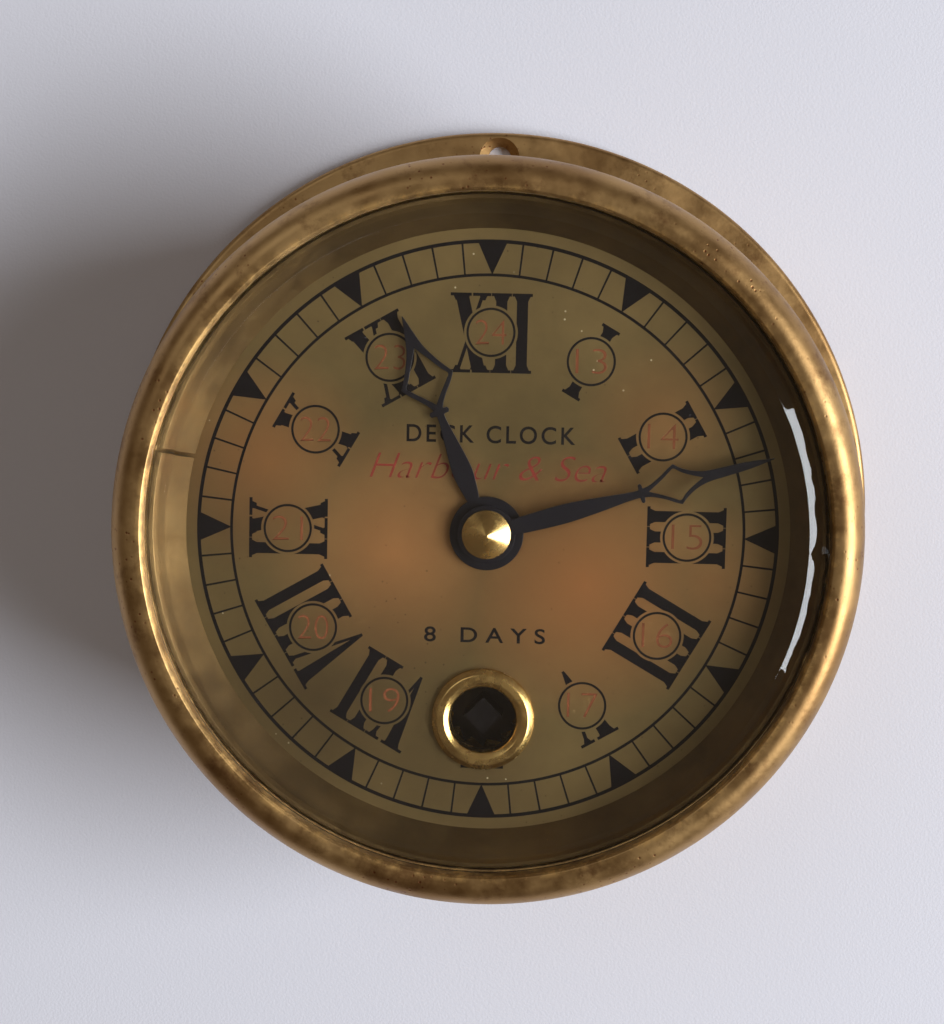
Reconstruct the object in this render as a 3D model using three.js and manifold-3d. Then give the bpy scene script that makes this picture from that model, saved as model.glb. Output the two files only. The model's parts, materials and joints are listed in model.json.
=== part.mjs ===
// A ship's deck clock: a brass drum with a flange for the bulkhead, a screwed bezel with a bevelled glass,
// a dial wound through a grommet at six o'clock, and an eight-day spring movement with a lever escapement.
// Millimetres. The back of the flange lies on z = 0, the dial faces +z and twelve o'clock is +y.
import * as THREE from "three";
import { mergeVertices } from "three/addons/utils/BufferGeometryUtils.js";
import Module from "manifold-3d";

const wasm = await Module();
wasm.setup();

// ---------------------------------------------------------------- driving dimensions
const FLANGE_R = 58; // outer radius of the mounting flange
const FLANGE_T = 2.6;
const CASE_R = 49.6; // outer radius of the drum
const CASE_TOP = 31; // shoulder that the bezel screws down to
const DIAL_Z = 33; // front face of the dial
const DIAL_T = 1;
const GLASS_TOP = 41.6; // front face of the glass
const BEZEL_TOP = 42.6; // crest of the bezel
const BEZEL_R = 52;
const LIP_R = 47; // opening of the bezel
const RUN = 0.1; // radial clearance of a pivot in its hole
const FIT = 0.05; // radial clearance of a piece fixed on a shaft

const RING_SIDES = 48; // sides of the large rings
const DISC_SIDES = 32;
const PIN_SIDES = 12;

// The case
const WALL_INNER_R = 46;
const COLLAR_R = 48.2; // threaded collar under the bezel
const COLLAR_TOP = 36.2;
const DIAL_RECESS_R = 46.5;
const SEAT_R = 41.5; // opening of the dial seat and of the rear ring
const REAR_RING_TOP = 4.5;
const COVER_SEAT_R = 46.2;
const COVER_SEAT_Z = 1.9;
const FLANGE_HOLES_AT_R = FLANGE_R - 3.9;
const FLANGE_HOLE_ANGLES = [0, 120, 240];
const FLANGE_HOLE_R = 1.75;
const COUNTERSINK_R = 3.1;
const COVER_SCREW_R = 43.6;
const COVER_SCREW_ANGLES = [30, 150, 270];
const COVER_HOLE_R = 0.9;

// The dial and what stands on it
const DIAL_R = 46.3;
const DIAL_BACK = DIAL_Z - DIAL_T;
const SURROUND_TOP = 37.2;
const SURROUND_GAP = 0.6; // between the two ends of its strip
const SURROUND_GAP_ANGLE = 283.5;
const GROMMET_TUBE_R = 5.3;
const GROMMET_BORE_R = 4.55;
const GROMMET_BOTTOM = 31;

// The bezel and its glass
const BEZEL_BOTTOM = 31.8;
const BEZEL_BORE_R = 48.7;
const GLASS_FLAT_R = 44; // where the bevel starts
const GLASS_R = 48.2;
const GLASS_BACK = 37.6;
const GLASS_RIM = 40.25; // flat step round the glass, under the bezel's lip
const GASKET_BOTTOM = 37.2;
const RETAINER_BOTTOM = 36.4;
const RETAINER_GAP = 1.6;

// Hand positions at rest, in degrees clockwise from twelve
const MINUTE_ANGLE = 73.8;
const HOUR_ANGLE = 337.6;

// The hands: half widths are given as [along, across] pairs from the boss to the collar
const HAND_T = 0.42;
const MINUTE_SEAT_Z = 34.7; // shoulder that the minute hand rests on
const HOUR_SEAT_Z = 33.6;
const MINUTE_HAND = {
  boss: 4,
  body: [[4, 1.1], [6, 1.2], [11, 1.35], [15.4, 1.02], [20, 0.6]],
  collar: { at: 22.2, half: 0.3, wide: 1.35 },
  shoulder: 0.5,
  corner: [27.3, 2.85],
  join: [32, 0.75],
  tip: [41.2, 0.2],
  strand: 0.42,
};
const HOUR_HAND = {
  boss: 5.15,
  body: [[5.1, 0.85], [7, 1.2], [9.5, 1.4], [13.2, 1], [16.3, 0.55]],
  collar: { at: 18.1, half: 0.4, wide: 1.4 },
  shoulder: 0.5,
  corner: [22.5, 3.8],
  join: [27.4, 0.75],
  tip: [32.4, 0.2],
  strand: 0.5,
};

// The movement's levels
const BACK_PLATE_Z = 9;
const BACK_PLATE_T = 1.3;
const FRONT_PLATE_Z = 24;
const FRONT_PLATE_T = 1.4;
const PLATE_R = 40.5;
const BACK_INSIDE = BACK_PLATE_Z + BACK_PLATE_T;
const FRONT_FACE = FRONT_PLATE_Z + FRONT_PLATE_T;

// The train, from the barrel to the escape wheel. Each ratio is wheel teeth over pinion leaves.
const BARREL = { teeth: 48, module: 0.55 };
const INTERMEDIATE = { leaves: 8, teeth: 40, module: 0.46 };
const CENTRE = { leaves: 10, teeth: 56, module: 0.34 };
const THIRD = { leaves: 7, teeth: 45, module: 0.34 };
const FOURTH = { leaves: 6, teeth: 48, module: 0.3 };
const ESCAPE = { leaves: 6, teeth: 15, radius: 4.5 };
const MOTION_MODULE = 0.4;
const CANNON_LEAVES = 10;
const MINUTE_TEETH = 30;
const MINUTE_LEAVES = 8;
const HOUR_TEETH = 32;


// The barrel, its arbor and the click work in front of the plate
const WINDING_Y = -26.4; // the winding square's distance from the centre
const WINDING_SQUARE = 3.8;
const SQUARE_TOP = 31;
const BARREL_BOTTOM = 11.4;
const BARREL_ARBOR_R = 2.8;
const BARREL_BASE_R = 1.5; // the arbor where it passes the drum's base
const BARREL_PIVOT_R = 1.2;
const DRUM_TOP = 20.8;
const DRUM_R = 11.4;
const DRUM_WALL = 0.8;
const RATCHET_Z = FRONT_FACE + 0.2;
const RATCHET_T = 0.9;
const RATCHET_R = 5.4;
const RATCHET_TEETH = 12;
const RATCHET_DEPTH = 1.1;
const CLICK_SCREW_R = 0.6;
const CLICK_SPRING_T = 0.7;

// Pillars, feet and screws
const PILLAR_R = 36;
const PILLAR_ANGLES = [45, 135, 225, 315];
const PILLAR_THICK_R = 2;
const TENON_R = 1.2;
const SCREW_SHANK_R = 0.9;
const SCREW_END = 14.6; // how far a screw reaches from behind the back plate
const SCREW_HOLE_END = 15;
const FOOT_R = 34;
const FOOT_ANGLES = [0, 100, 260];
const FOOT_THICK_R = 1.2;
const FOOT_BOTTOM = 21.6;
const FOOT_PIN_Z = 23.45; // just behind the front plate
const FOOT_PIN_R = 0.45;

// Arbors and pivots
const SHOULDER = 0.3; // end shake between a shaft's shoulder and its plate
const CENTRE_SHAFT_R = 1.4;
const CENTRE_FRONT_R = 1; // the centre arbor in front of the plate, inside the cannon pinion
const CENTRE_BACK_R = 0.8;
const CENTRE_TOP = 36.4; // end of the thread that takes the hand nut
const NUT_THREAD_R = 0.8;
const INTERMEDIATE_PIVOT_R = 0.6;
const TRAIN_PIVOT_R = 0.5;
const ESCAPE_SHAFT_R = 0.7;
const LEVER_SHAFT_R = 0.5;
const LEVER_PIVOT_R = 0.35;

// The escapement and the balance
const LEVER_Z = 14.5;
const LEVER_T = 0.9;
const STONE_CLEAR = 0.35; // the pallets rest clear of the escape wheel by the lever's swing
const BALANCE_PIVOT_R = 0.3;
const BALANCE_SHAFT_R = 0.7;
const BALANCE_R = 7.5;
const COCK_BOTTOM = 21.4;
const COCK_T = 1.5;
const HAIRSPRING_R = 4.6;
const HAIRSPRING_Z = 20.1;

// The motion work
const MOTION_Z = FRONT_FACE + 0.3;
const CANNON_TUBE_R = 1.6;
const CANNON_END_R = 1.3; // where the minute hand sits
const HOUR_GEAR_Z = 28;
const HOUR_PIPE_R = 2.6;
const HOUR_END_R = 2.2; // where the hour hand sits
const MINUTE_POST_R = 0.8;
const MINUTE_POST_TOP = 29.8;

const TURN = 2 * Math.PI;

// ---------------------------------------------------------------- shapes
const degrees = (a) => (a * Math.PI) / 180;

// A point at a radius and an angle anticlockwise from +x.
const polar = (r, a) => new THREE.Vector2(r * Math.cos(a), r * Math.sin(a));

// The same direction as a clock hand: clockwise from +y.
const clock = (r, a) => polar(r, Math.PI / 2 - degrees(a));

// A solid of revolution about z from a closed outline of [radius, height] pairs.
function turned(outline, sides = DISC_SIDES) {
  const points = outline.map(([r, z]) => new THREE.Vector2(r, z));
  const closed = points[0].x > 0 || points[points.length - 1].x > 0;
  if (THREE.ShapeUtils.area(points) < 0) points.reverse();
  if (closed) points.push(points[0].clone());
  return new THREE.LatheGeometry(points, sides).rotateX(Math.PI / 2);
}

// A flat piece cut from sheet, standing on z = bottom. Its outline is taken anticlockwise, as the holes need.
function sheet(outline, bottom, thickness, holes = []) {
  if (THREE.ShapeUtils.isClockWise(outline)) outline.reverse();
  const shape = new THREE.Shape(outline);
  shape.holes.push(...holes);
  const options = { depth: thickness, bevelEnabled: false, curveSegments: 1 };
  return new THREE.ExtrudeGeometry(shape, options).translate(0, 0, bottom);
}

// A regular outline of a circle, also used for holes.
function round(r, sides = PIN_SIDES, x = 0, y = 0) {
  const points = [];
  for (let i = 0; i < sides; i++) {
    points.push(polar(r, (i * TURN) / sides).add(new THREE.Vector2(x, y)));
  }
  return points;
}

const hole = (r, sides, x, y) => new THREE.Path(round(r, sides, x, y));

const rod = (r, bottom, top, sides = PIN_SIDES) => sheet(round(r, sides), bottom, top - bottom);

// The outline of a gear with straight flanks. rootShare is the part of the pitch that is flat at the root.
function toothed(teeth, module, phase, { add = 0.8, ded = 1.3, thick = 0.4, rootShare = 0 } = {}) {
  const pitch = TURN / teeth;
  const rTip = (teeth / 2 + add) * module;
  const rRoot = (teeth / 2 - ded) * module;
  const rootGap = pitch * rootShare;
  const slope = (pitch - rootGap - thick * pitch) / (ded * module);
  const tip = Math.max(thick * pitch - slope * add * module, 0.07 * pitch);
  const points = [];
  for (let i = 0; i < teeth; i++) {
    const a = phase + i * pitch;
    points.push(polar(rTip, a - tip / 2), polar(rTip, a + tip / 2));
    if (rootGap > 0) points.push(polar(rRoot, a + (pitch - rootGap) / 2));
    points.push(polar(rRoot, a + (pitch + rootGap) / 2));
  }
  return points;
}

const WHEEL_TEETH = { add: 0.95, ded: 1.25, thick: 0.4, rootShare: 0 };
const PINION_LEAVES = { add: 0.7, ded: 1.25, thick: 0.34, rootShare: 0.36 };

// ---------------------------------------------------------------- joining and cutting
function solidOf(geometry) {
  const bare = geometry.clone();
  bare.deleteAttribute("normal");
  bare.deleteAttribute("uv");
  const merged = mergeVertices(bare, 1e-4);
  const index = merged.index.array;
  return new wasm.Manifold(
    new wasm.Mesh({
      numProp: 3,
      vertProperties: new Float32Array(merged.attributes.position.array),
      triVerts: new Uint32Array(index),
    }),
  );
}

function geometryOf(solid) {
  const { vertProperties, triVerts } = solid.getMesh();
  const geometry = new THREE.BufferGeometry();
  geometry.setAttribute("position", new THREE.BufferAttribute(vertProperties, 3));
  geometry.setIndex(new THREE.BufferAttribute(triVerts, 1));
  return geometry;
}

const joined = (first, ...others) =>
  geometryOf(others.reduce((sum, g) => sum.add(solidOf(g)), solidOf(first)));

const cut = (first, ...tools) =>
  geometryOf(tools.reduce((left, g) => left.subtract(solidOf(g)), solidOf(first)));

// ---------------------------------------------------------------- materials and the assembly
const metal = (color, roughness) =>
  new THREE.MeshStandardMaterial({ color, roughness, metalness: 1 });

const AGED_BRASS = metal(0x8a6a3a, 0.35);
const BRASS = metal(0xb5925a, 0.3);
const DIAL_BRASS = metal(0x9a7f4e, 0.4);
const STEEL = metal(0x9a9a9c, 0.3);
const BLACK = new THREE.MeshStandardMaterial({ color: 0x17161a, roughness: 0.5 });
const RUBBER = new THREE.MeshStandardMaterial({ color: 0x22201e, roughness: 0.9 });
const GLASS = new THREE.MeshStandardMaterial({ color: 0xf2f6f4, transparent: true, opacity: 0.3 });

const clockAssembly = new THREE.Group();

function place(name, geometry, material, x = 0, y = 0, turn = 0) {
  const mesh = new THREE.Mesh(geometry, material);
  mesh.name = name;
  mesh.position.set(x, y, 0);
  mesh.rotation.z = turn;
  clockAssembly.add(mesh);
}

// ---------------------------------------------------------------- case, cover and dial
function caseBody() {
  const drum = turned(
    [
      [57.2, 0], [FLANGE_R, 0.8], [FLANGE_R, 1.9], [57.4, FLANGE_T],
      [CASE_R + 1, FLANGE_T], [CASE_R, FLANGE_T + 1], [CASE_R, CASE_TOP],
      [COLLAR_R, CASE_TOP], [COLLAR_R, COLLAR_TOP], [DIAL_RECESS_R, COLLAR_TOP],
      [DIAL_RECESS_R, DIAL_BACK], [SEAT_R, DIAL_BACK], [SEAT_R, DIAL_BACK - 1.4],
      [WALL_INNER_R, DIAL_BACK - 3], [WALL_INNER_R, REAR_RING_TOP], [SEAT_R, REAR_RING_TOP],
      [SEAT_R, COVER_SEAT_Z], [COVER_SEAT_R, COVER_SEAT_Z], [COVER_SEAT_R, 0],
    ],
    RING_SIDES,
  );
  const tools = [];
  for (const angle of FLANGE_HOLE_ANGLES) {
    const { x, y } = clock(FLANGE_HOLES_AT_R, angle);
    const sink = COUNTERSINK_R - FLANGE_HOLE_R;
    const bore = turned(
      [
        [0, -1], [FLANGE_HOLE_R, -1], [FLANGE_HOLE_R, FLANGE_T - sink],
        [COUNTERSINK_R, FLANGE_T], [COUNTERSINK_R, FLANGE_T + 1], [0, FLANGE_T + 1],
      ],
      16,
    );
    tools.push(bore.translate(x, y, 0));
  }
  for (const angle of COVER_SCREW_ANGLES) {
    const { x, y } = clock(COVER_SCREW_R, angle);
    tools.push(rod(COVER_HOLE_R, 1, 5).translate(x, y, 0));
  }
  return cut(drum, ...tools);
}

function rearCover() {
  const holes = COVER_SCREW_ANGLES.map((angle) => {
    const { x, y } = clock(COVER_SCREW_R, angle);
    return hole(COVER_HOLE_R, PIN_SIDES, x, y);
  });
  return sheet(round(COVER_SEAT_R - 0.3, RING_SIDES), COVER_SEAT_Z - 1.2, 1.2, holes);
}

// A cheese-head screw with its slot. The head lies between its outer face and its seat, on either side of it.
function slottedScrew(headR, headFace, headSeat, shankR, shankEnd) {
  const outline = [
    [0, headFace], [headR, headFace], [headR, headSeat], [shankR, headSeat], [shankR, shankEnd],
    [0, shankEnd],
  ];
  const slot = new THREE.BoxGeometry(3 * headR, 0.25 * headR, 0.5);
  return cut(turned(outline, PIN_SIDES), slot.translate(0, 0, headFace));
}

function dial() {
  const holes = [hole(2.8, 16), hole(GROMMET_TUBE_R + FIT, 24, 0, WINDING_Y)];
  const disc = sheet(round(DIAL_R, RING_SIDES), DIAL_BACK, DIAL_T, holes);
  const feet = FOOT_ANGLES.map((angle) => {
    const { x, y } = clock(FOOT_R, angle);
    const pinHole = crossRod(FOOT_PIN_R + RUN, 4, FOOT_PIN_Z);
    return cut(rod(FOOT_THICK_R, FOOT_BOTTOM, DIAL_BACK), pinHole).translate(x, y, 0);
  });
  return joined(disc, ...feet);
}

// The flared ring between the dial and the glass. It is rolled from strip, and its ends don't quite meet.
function dialSurround() {
  const ring = turned(
    [[42.2, DIAL_Z], [45.6, SURROUND_TOP], [46.2, SURROUND_TOP], [46.2, SURROUND_TOP - 0.8], [43.4, DIAL_Z]],
    RING_SIDES,
  );
  const gap = new THREE.BoxGeometry(10, SURROUND_GAP, 20).translate(44, 0, SURROUND_TOP);
  return cut(ring, gap.rotateZ(Math.PI / 2 - degrees(SURROUND_GAP_ANGLE)));
}

function windingGrommet() {
  return turned(
    [
      [GROMMET_BORE_R, GROMMET_BOTTOM], [GROMMET_TUBE_R, GROMMET_BOTTOM], [GROMMET_TUBE_R, DIAL_Z],
      [7.3, DIAL_Z], [7.2, 33.6], [6.5, 34.2], [5.5, 34.3], [4.8, 33.9], [GROMMET_BORE_R, 33.2],
    ],
    24,
  );
}

// ---------------------------------------------------------------- bezel
function bezel() {
  return turned(
    [
      [BEZEL_BORE_R, BEZEL_BOTTOM], [BEZEL_R - 0.6, BEZEL_BOTTOM], [BEZEL_R, BEZEL_BOTTOM + 0.6],
      [BEZEL_R, 38.2], [BEZEL_R - 0.4, 39.9], [BEZEL_R - 1.25, 41.3], [BEZEL_R - 2.4, 42.2],
      [BEZEL_R - 3.6, BEZEL_TOP], [LIP_R + 0.5, 42.4], [LIP_R, 41.9], [LIP_R, GLASS_RIM],
      [BEZEL_BORE_R, GLASS_RIM],
    ],
    RING_SIDES,
  );
}

function glass() {
  return turned(
    [
      [0, GLASS_BACK], [GLASS_R, GLASS_BACK], [GLASS_R, GLASS_RIM], [46.9, GLASS_RIM],
      [GLASS_FLAT_R, GLASS_TOP], [0, GLASS_TOP],
    ],
    RING_SIDES,
  );
}

const flatRing = (inner, outer, bottom, top) =>
  turned([[inner, bottom], [outer, bottom], [outer, top], [inner, top]], RING_SIDES);

// The brass strip that holds the glass up against the lip, sprung into the bezel, so that it has two ends.
function retainingRing() {
  const ring = flatRing(46.9, 48.6, RETAINER_BOTTOM, GASKET_BOTTOM);
  return cut(ring, new THREE.BoxGeometry(6, RETAINER_GAP, 6).translate(GLASS_R, 0, RETAINER_BOTTOM));
}

// ---------------------------------------------------------------- hands
// The whole outline of a pierced hand along +y: one side from the boss to the tip, and its mirror image.
function handOutline({ boss, body, collar, shoulder, corner, join, tip }) {
  const right = [];
  const bossAngle = Math.asin(body[0][1] / boss);
  for (let i = 0; i <= 8; i++) {
    const a = Math.PI - ((Math.PI - bossAngle) * i) / 8;
    right.push([boss * Math.cos(a), boss * Math.sin(a)]);
  }
  right.push(...body.slice(1));
  right.push([collar.at - collar.half, shoulder], [collar.at - collar.half, collar.wide]);
  right.push([collar.at + collar.half, collar.wide], [collar.at + collar.half, shoulder]);
  right.push([corner[0] - 1.6, corner[1] * 0.55], corner, [corner[0] + 1.6, corner[1] * 0.5], join, tip);
  const left = right.slice(1, -1).map(([y, x]) => [y, -x]);
  return [...right, ...left.reverse()].map(([y, x]) => new THREE.Vector2(-x, y));
}

// The opening of a pierced hand: the corner outline drawn in by the strand's width.
function handOpening({ collar, corner, join, strand }) {
  const side = [
    [collar.at + collar.half + strand, 0], [corner[0] - 1.3, corner[1] * 0.55 - strand],
    [corner[0], corner[1] - 1.6 * strand], [corner[0] + 1.2, corner[1] * 0.5 - strand], [join[0] - 1, 0],
  ];
  const other = side.slice(1, -1).map(([y, x]) => [y, -x]);
  const points = [...side, ...other.reverse()].map(([y, x]) => new THREE.Vector2(-x, y));
  return new THREE.Path(points);
}

function hand(form, bottom, thickness, bore) {
  return sheet(handOutline(form), bottom, thickness, [handOpening(form), hole(bore, PIN_SIDES)]);
}

// ---------------------------------------------------------------- layout of the train
// Where a pair of wheels meet: the angle from one centre to the other.
const bearing = (from, to) => Math.atan2(to.y - from.y, to.x - from.x);

// The place at given distances from two centres, on the side where x has the given sign.
function crossing(a, ra, b, rb, sign) {
  const d = a.distanceTo(b);
  const along = (d * d + ra * ra - rb * rb) / (2 * d);
  const across = Math.sqrt(ra * ra - along * along);
  const unit = b.clone().sub(a).divideScalar(d);
  const aside = new THREE.Vector2(-unit.y, unit.x).multiplyScalar(sign * across);
  return a.clone().addScaledVector(unit, along).add(aside);
}

const distance = (wheel, pinion, module) => ((wheel + pinion) / 2) * module;

const centreAt = new THREE.Vector2(0, 0);
const barrelAt = new THREE.Vector2(0, WINDING_Y);
const intermediateAt = crossing(
  barrelAt, distance(BARREL.teeth, INTERMEDIATE.leaves, BARREL.module),
  centreAt, distance(INTERMEDIATE.teeth, CENTRE.leaves, INTERMEDIATE.module), 1,
);
const thirdAt = polar(distance(CENTRE.teeth, THIRD.leaves, CENTRE.module), degrees(150));
const fourthAt = polar(distance(THIRD.teeth, FOURTH.leaves, THIRD.module), degrees(38)).add(thirdAt);
const escapeAt = polar(distance(FOURTH.teeth, ESCAPE.leaves, FOURTH.module), degrees(-8)).add(fourthAt);
const LEVER_LINE = degrees(35); // from the escape wheel through the lever to the balance
const palletAt = polar(ESCAPE.radius / Math.cos(degrees(30)), LEVER_LINE).add(escapeAt);
const balanceAt = polar(8.6, LEVER_LINE).add(palletAt);
const minutePostAt = polar(distance(MINUTE_TEETH, CANNON_LEAVES, MOTION_MODULE), degrees(40));

// A wheel whose phase is its bearing has a tooth on the line of centres. This gives a pinion a space there.
const spaceTo = (from, to, leaves) => bearing(from, to) + Math.PI / leaves;

// The openings between a wheel's spokes.
function spokeWindows(rim, hub, spokes, spokeAngle = 0.16) {
  const span = TURN / spokes;
  const taper = 0.2 + spokeAngle * 1.5;
  return Array.from({ length: spokes }, (_, i) => {
    const outer = [0, 1, 2, 3, 4].map((k) =>
      polar(rim, i * span + spokeAngle + ((span - 2 * spokeAngle) * k) / 4));
    const inner = [2, 1, 0].map((k) => polar(hub, i * span + taper + ((span - 2 * taper) * k) / 2));
    return new THREE.Path([...outer, ...inner]);
  });
}

// A spoked train wheel with a bore for its arbor.
function wheel(teeth, module, phase, bottom, thickness, bore, spokes = 4) {
  const rim = (teeth / 2 - 2.4) * module;
  const hub = Math.max(bore + 0.9, rim * 0.26);
  const holes = [hole(bore, PIN_SIDES), ...spokeWindows(rim, hub, spokes)];
  return sheet(toothed(teeth, module, phase, WHEEL_TEETH), bottom, thickness, holes);
}

// ---------------------------------------------------------------- plates and pillars
// The click's pivot and tip, and those of the spring that presses it, about the barrel arbor.
const clickAt = new THREE.Vector2(-1.73, 8.98).add(barrelAt);
const clickTip = new THREE.Vector2(1.71, 4.07).add(barrelAt).sub(clickAt);
const clickSpringAt = new THREE.Vector2(1.88, 13.31).add(barrelAt);
const clickSpringTip = new THREE.Vector2(0.77, 6.92).add(barrelAt).sub(clickSpringAt);

// A plain arbor between the plates, with a thinner pivot at each end.
function arborShaft(shaftR, pivotR) {
  return turned(
    [
      [0, BACK_PLATE_Z], [pivotR, BACK_PLATE_Z], [pivotR, BACK_INSIDE + SHOULDER],
      [shaftR, BACK_INSIDE + SHOULDER], [shaftR, FRONT_PLATE_Z - SHOULDER],
      [pivotR, FRONT_PLATE_Z - SHOULDER], [pivotR, FRONT_FACE], [0, FRONT_FACE],
    ],
    PIN_SIDES,
  );
}

// The centre arbor runs through the front plate and the cannon pinion to the thread of the hand nut.
function centreArbor() {
  const shaft = turned(
    [
      [0, BACK_PLATE_Z], [CENTRE_BACK_R, BACK_PLATE_Z], [CENTRE_BACK_R, BACK_INSIDE + SHOULDER],
      [CENTRE_SHAFT_R, BACK_INSIDE + SHOULDER], [CENTRE_SHAFT_R, FRONT_PLATE_Z - SHOULDER],
      [CENTRE_FRONT_R, FRONT_PLATE_Z - SHOULDER], [CENTRE_FRONT_R, MINUTE_SEAT_Z + 0.3],
      [NUT_THREAD_R, MINUTE_SEAT_Z + 0.3], [NUT_THREAD_R, CENTRE_TOP], [0, CENTRE_TOP],
    ],
    PIN_SIDES,
  );
  const phase = spaceTo(centreAt, intermediateAt, CENTRE.leaves);
  return joined(shaft, sheet(toothed(CENTRE.leaves, INTERMEDIATE.module, phase, PINION_LEAVES), 20.9, 2));
}

const pillarPlaces = PILLAR_ANGLES.map((a) => clock(PILLAR_R, a));
const cockFootAt = polar(10.6, degrees(-25)).add(balanceAt);

// Pivot holes common to both plates.
const trainPivots = [
  [intermediateAt, INTERMEDIATE_PIVOT_R], [thirdAt, TRAIN_PIVOT_R], [fourthAt, TRAIN_PIVOT_R],
  [escapeAt, TRAIN_PIVOT_R], [palletAt, LEVER_PIVOT_R],
];

function plate(bottom, thickness, others) {
  const holes = trainPivots.map(([at, r]) => hole(r + RUN, PIN_SIDES, at.x, at.y));
  for (const [at, r] of others) holes.push(hole(r, PIN_SIDES, at.x, at.y));
  return sheet(round(PLATE_R, RING_SIDES), bottom, thickness, holes);
}

function backPlate() {
  const others = [
    [centreAt, CENTRE_BACK_R + RUN], [barrelAt, BARREL_PIVOT_R + RUN], [balanceAt, BALANCE_PIVOT_R + RUN],
    [cockFootAt, SCREW_SHANK_R + FIT],
    ...pillarPlaces.map((at) => [at, SCREW_SHANK_R + FIT]),
  ];
  return plate(BACK_PLATE_Z, BACK_PLATE_T, others);
}

// The front plate carries the post that the minute wheel turns on.
function frontPlate() {
  const others = [
    [centreAt, CENTRE_FRONT_R + RUN], [barrelAt, BARREL_ARBOR_R + 0.15],
    ...pillarPlaces.map((at) => [at, TENON_R + FIT]),
    ...FOOT_ANGLES.map((angle) => [clock(FOOT_R, angle), FOOT_THICK_R + RUN]),
    [clickAt, CLICK_SCREW_R + FIT], [clickSpringAt, CLICK_SCREW_R + FIT],
  ];
  const post = rod(MINUTE_POST_R, FRONT_PLATE_Z, MINUTE_POST_TOP);
  const { x, y } = minutePostAt;
  return joined(plate(FRONT_PLATE_Z, FRONT_PLATE_T, others), post.translate(x, y, 0));
}

// A pillar is riveted into the front plate, and a screw through the back plate enters its other end.
function pillar() {
  return turned(
    [
      [SCREW_SHANK_R + FIT, BACK_INSIDE], [PILLAR_THICK_R, BACK_INSIDE], [PILLAR_THICK_R, FRONT_PLATE_Z],
      [TENON_R, FRONT_PLATE_Z], [TENON_R, FRONT_FACE], [0, FRONT_FACE], [0, SCREW_HOLE_END],
      [SCREW_SHANK_R + FIT, SCREW_HOLE_END],
    ],
    PIN_SIDES,
  );
}

const plateScrew = () => slottedScrew(1.9, BACK_PLATE_Z - 1.1, BACK_PLATE_Z, SCREW_SHANK_R, SCREW_END);

// The tapered pin that holds a dial foot in the front plate, lying along x.
function crossRod(r, length, z) {
  return rod(r, -length / 2, length / 2).rotateY(Math.PI / 2).translate(0, 0, z);
}

// ---------------------------------------------------------------- barrel and click work
// The drum is open towards the front until its cap is snapped on, and its great wheel is cut at the back.
function barrelDrum() {
  const phase = bearing(barrelAt, intermediateAt);
  const greatWheel = sheet(toothed(BARREL.teeth, BARREL.module, phase, WHEEL_TEETH), BARREL_BOTTOM, 1.6);
  const drum = rod(DRUM_R, BARREL_BOTTOM, DRUM_TOP, DISC_SIDES);
  const room = rod(DRUM_R - DRUM_WALL, BARREL_BOTTOM + 1, DRUM_TOP + 1, DISC_SIDES);
  const bore = rod(BARREL_BASE_R + RUN, BARREL_BOTTOM - 1, DRUM_TOP, PIN_SIDES);
  return cut(joined(greatWheel, drum), room, bore);
}

function barrelCap() {
  const bore = hole(BARREL_ARBOR_R + 0.15, PIN_SIDES);
  return sheet(round(DRUM_R - DRUM_WALL - FIT, DISC_SIDES), DRUM_TOP - 1, 0.9, [bore]);
}

// How far the winding square's corners stand from its axis. They point up, down, left and right.
const squareCorner = (clearance) => (WINDING_SQUARE / 2 + clearance) * Math.SQRT2;

// The arbor holds the mainspring's inner end and runs out through the ratchet to the winding square.
function barrelArbor() {
  const shaft = turned(
    [
      [0, BACK_PLATE_Z], [BARREL_PIVOT_R, BACK_PLATE_Z], [BARREL_PIVOT_R, BACK_INSIDE + SHOULDER],
      [BARREL_BASE_R, BACK_INSIDE + SHOULDER], [BARREL_BASE_R, BARREL_BOTTOM + 1.2],
      [BARREL_ARBOR_R, BARREL_BOTTOM + 1.2], [BARREL_ARBOR_R, RATCHET_Z], [0, RATCHET_Z],
    ],
    PIN_SIDES,
  );
  return joined(shaft, rod(squareCorner(0), RATCHET_Z - 1, SQUARE_TOP, 4));
}

// One tooth every 30 degrees: the click drops into the steep side, so the wheel can only turn clockwise.
function ratchetWheel() {
  const pitch = TURN / RATCHET_TEETH;
  const points = [];
  for (let i = 0; i < RATCHET_TEETH; i++) {
    points.push(polar(RATCHET_R, i * pitch), polar(RATCHET_R - RATCHET_DEPTH, (i + 0.22) * pitch));
  }
  return sheet(points, RATCHET_Z, RATCHET_T, [hole(squareCorner(FIT), 4)]);
}

// A flat lever with a round hub at its pivot, tapering to its tip. Its holes are given as paths.
function arm(tip, hubR, tipHalf, bottom, thickness, ...holes) {
  const along = Math.atan2(tip.y, tip.x);
  const side = new THREE.Vector2(-Math.sin(along), Math.cos(along)).multiplyScalar(tipHalf);
  const points = [tip.clone().sub(side), tip.clone().add(side)];
  for (let i = 0; i <= 8; i++) points.push(polar(hubR, along + Math.PI / 2 + (Math.PI * i) / 8));
  return sheet(points, bottom, thickness, holes);
}

// A strip wound in a spiral, from its inner to its outer radius.
function spiral(inner, outer, turns, stripWidth, bottom, height, stepsPerTurn = 14) {
  const steps = Math.round(turns * stepsPerTurn);
  const rim = (offset) =>
    Array.from({ length: steps + 1 }, (_, i) =>
      polar(inner + ((outer - inner) * i) / steps + offset, (i * TURN) / stepsPerTurn));
  return sheet([...rim(stripWidth / 2), ...rim(-stripWidth / 2).reverse()], bottom, height);
}

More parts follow.
